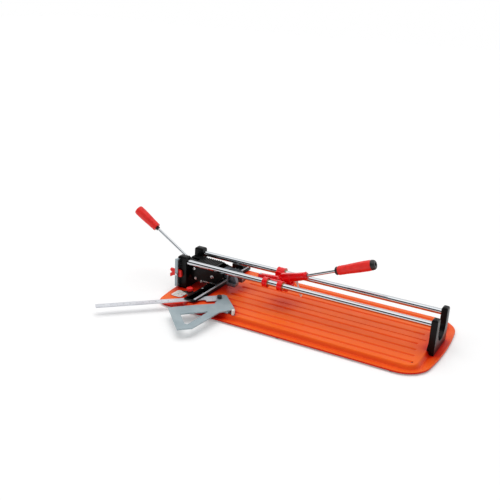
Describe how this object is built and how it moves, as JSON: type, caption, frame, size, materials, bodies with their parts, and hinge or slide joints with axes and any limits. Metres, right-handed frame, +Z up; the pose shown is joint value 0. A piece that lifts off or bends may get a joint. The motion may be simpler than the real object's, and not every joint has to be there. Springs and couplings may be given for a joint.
{
  "type": "tile cutter",
  "caption": "Manual tile cutter: ribbed deck, two guide rods, scoring carriage with lever, separate fence-end breaker with long lever, swivelling rule and square.",
  "frame": {"origin": "on the bench plane under the centre of the tray, on the underside of the centre pad", "axes": "+X along the guide rods from the fence to the free end, +Y across the machine towards the back, +Z up"},
  "size_m": [1.1229, 0.5819, 0.239],
  "materials": {
    "orange_paint": "gloss orange paint over die-cast aluminium",
    "black_casting": "semi-gloss black paint",
    "chrome_rod": "polished chrome",
    "steel": "bright steel",
    "dark_steel": "blackened steel",
    "alu": "satin aluminium",
    "cast_alu": "cast aluminium",
    "red_paint": "gloss red paint",
    "red_grip": "glossy red grip",
    "black_plastic": "black plastic",
    "rubber": "matt rubber",
    "white_nylon": "white nylon",
    "label": "printed scale plate",
    "bronze": "sintered bronze"
  },
  "bodies": {
    "base": {"base_pan": "orange_paint", "anvil_strip": "orange_paint", "rubber_feet": "rubber", "centre_pad": "rubber", "left_support": "black_casting", "right_support": "black_casting", "left_support_bolts": "steel", "right_support_bolts": "steel", "rod_set_screws": "dark_steel", "front_guide_rod": "chrome_rod", "back_guide_rod": "chrome_rod", "fence_bar": "black_casting", "fence_scale_rail": "alu", "fence_screws": "steel", "angle_scale_plate": "label", "edge_post": "alu", "latch_pin": "steel", "breaker_plate_front": "black_casting", "breaker_plate_back": "black_casting", "breaker_spacers": "dark_steel", "breaker_bolts": "steel", "breaker_shaft": "steel", "rocker_pin": "steel", "breaker_trim_strip": "steel"},
    "latch": {"transport_latch": "red_grip"},
    "breaker_lever": {"breaker_hub": "black_casting", "breaker_lever_rod": "chrome_rod", "breaker_collar": "black_plastic", "breaker_grip": "red_grip"},
    "rocker": {"breaker_rocker": "black_casting", "presser_pin": "steel"},
    "presser": {"presser_foot": "cast_alu", "presser_pads": "rubber"},
    "carriage": {"carriage_frame": "red_paint", "carriage_bushes": "bronze", "lever_pin": "steel"},
    "scoring_lever": {"scoring_lever_body": "red_paint", "scoring_lever_rod": "chrome_rod", "grip_collar": "black_plastic", "scoring_grip": "red_grip", "grip_end_cap": "black_plastic", "wheel_holder": "dark_steel", "holder_screw": "steel", "wheel_axle": "steel"},
    "wheel": {"scoring_wheel": "steel"},
    "gauge": {"gauge_block": "black_plastic"},
    "gauge_clamp": {"gauge_knob": "red_grip"},
    "rule": {"gauge_rule": "alu"},
    "square": {"square_plate": "alu"},
    "square_clamp": {"square_knob": "black_plastic"},
    "stop": {"square_stop_rod": "dark_steel", "square_stop_foot": "white_nylon"}
  },
  "joints": [
    {"name": "latch_turn", "type": "hinge", "parent": "base", "child": "latch", "pos_m": [-0.4425, -0.0647, 0.059], "axis": [0, 1, 0], "range_deg": [0, 90]},
    {"name": "breaker_lever_turn", "type": "hinge", "parent": "base", "child": "breaker_lever", "pos_m": [-0.427, 0, 0.074], "axis": [0, 1, 0], "range_deg": [0, 80]},
    {"name": "rocker_turn", "type": "hinge", "parent": "base", "child": "rocker", "pos_m": [-0.397, 0, 0.078], "axis": [0, 1, 0], "range_deg": [0, 9.7]},
    {"name": "presser_foot_tilt", "type": "hinge", "parent": "rocker", "child": "presser", "pos_m": [-0.301, 0, 0.077], "axis": [0, 1, 0], "range_deg": [-9.7, 0]},
    {"name": "carriage_slide", "type": "slide", "parent": "base", "child": "carriage", "axis": [1, 0, 0], "range_m": [-0.1, 0.465]},
    {"name": "scoring_lever_lift", "type": "hinge", "parent": "carriage", "child": "scoring_lever", "pos_m": [-0.092, 0, 0.097], "axis": [0, -1, 0], "range_deg": [0, 40]},
    {"name": "scoring_wheel_spin", "type": "hinge", "parent": "scoring_lever", "child": "wheel", "pos_m": [-0.167, 0, 0.08], "axis": [0, 1, 0], "continuous": true},
    {"name": "gauge_swivel", "type": "hinge", "parent": "base", "child": "gauge", "pos_m": [-0.325, -0.153, 0.028], "axis": [0, 0, 1], "range_deg": [-5, 14]},
    {"name": "gauge_knob_turn", "type": "hinge", "parent": "gauge", "child": "gauge_clamp", "pos_m": [-0.36318, -0.11482, 0.0362], "axis": [0, 0, 1], "range_deg": [0, 180]},
    {"name": "rule_slide", "type": "slide", "parent": "gauge", "child": "rule", "axis": [0.7071, 0.7071, 0], "range_m": [0, 0.024]},
    {"name": "square_swivel", "type": "hinge", "parent": "rule", "child": "square", "pos_m": [-0.25323, -0.10881, 0.0296], "axis": [0, 0, 1], "range_deg": [-10, 0]},
    {"name": "square_knob_turn", "type": "hinge", "parent": "rule", "child": "square_clamp", "pos_m": [-0.25323, -0.10881, 0.0296], "axis": [0, 0, 1], "range_deg": [0, 180]},
    {"name": "square_stop_slide", "type": "slide", "parent": "square", "child": "stop", "axis": [1, 0, 0], "range_m": [0, 0.02]}
  ],
  "couplings": [
    {"joint": "rocker_turn", "follows": "breaker_lever_turn", "ratio": 0.12},
    {"joint": "presser_foot_tilt", "follows": "breaker_lever_turn", "ratio": -0.12}
  ]
}
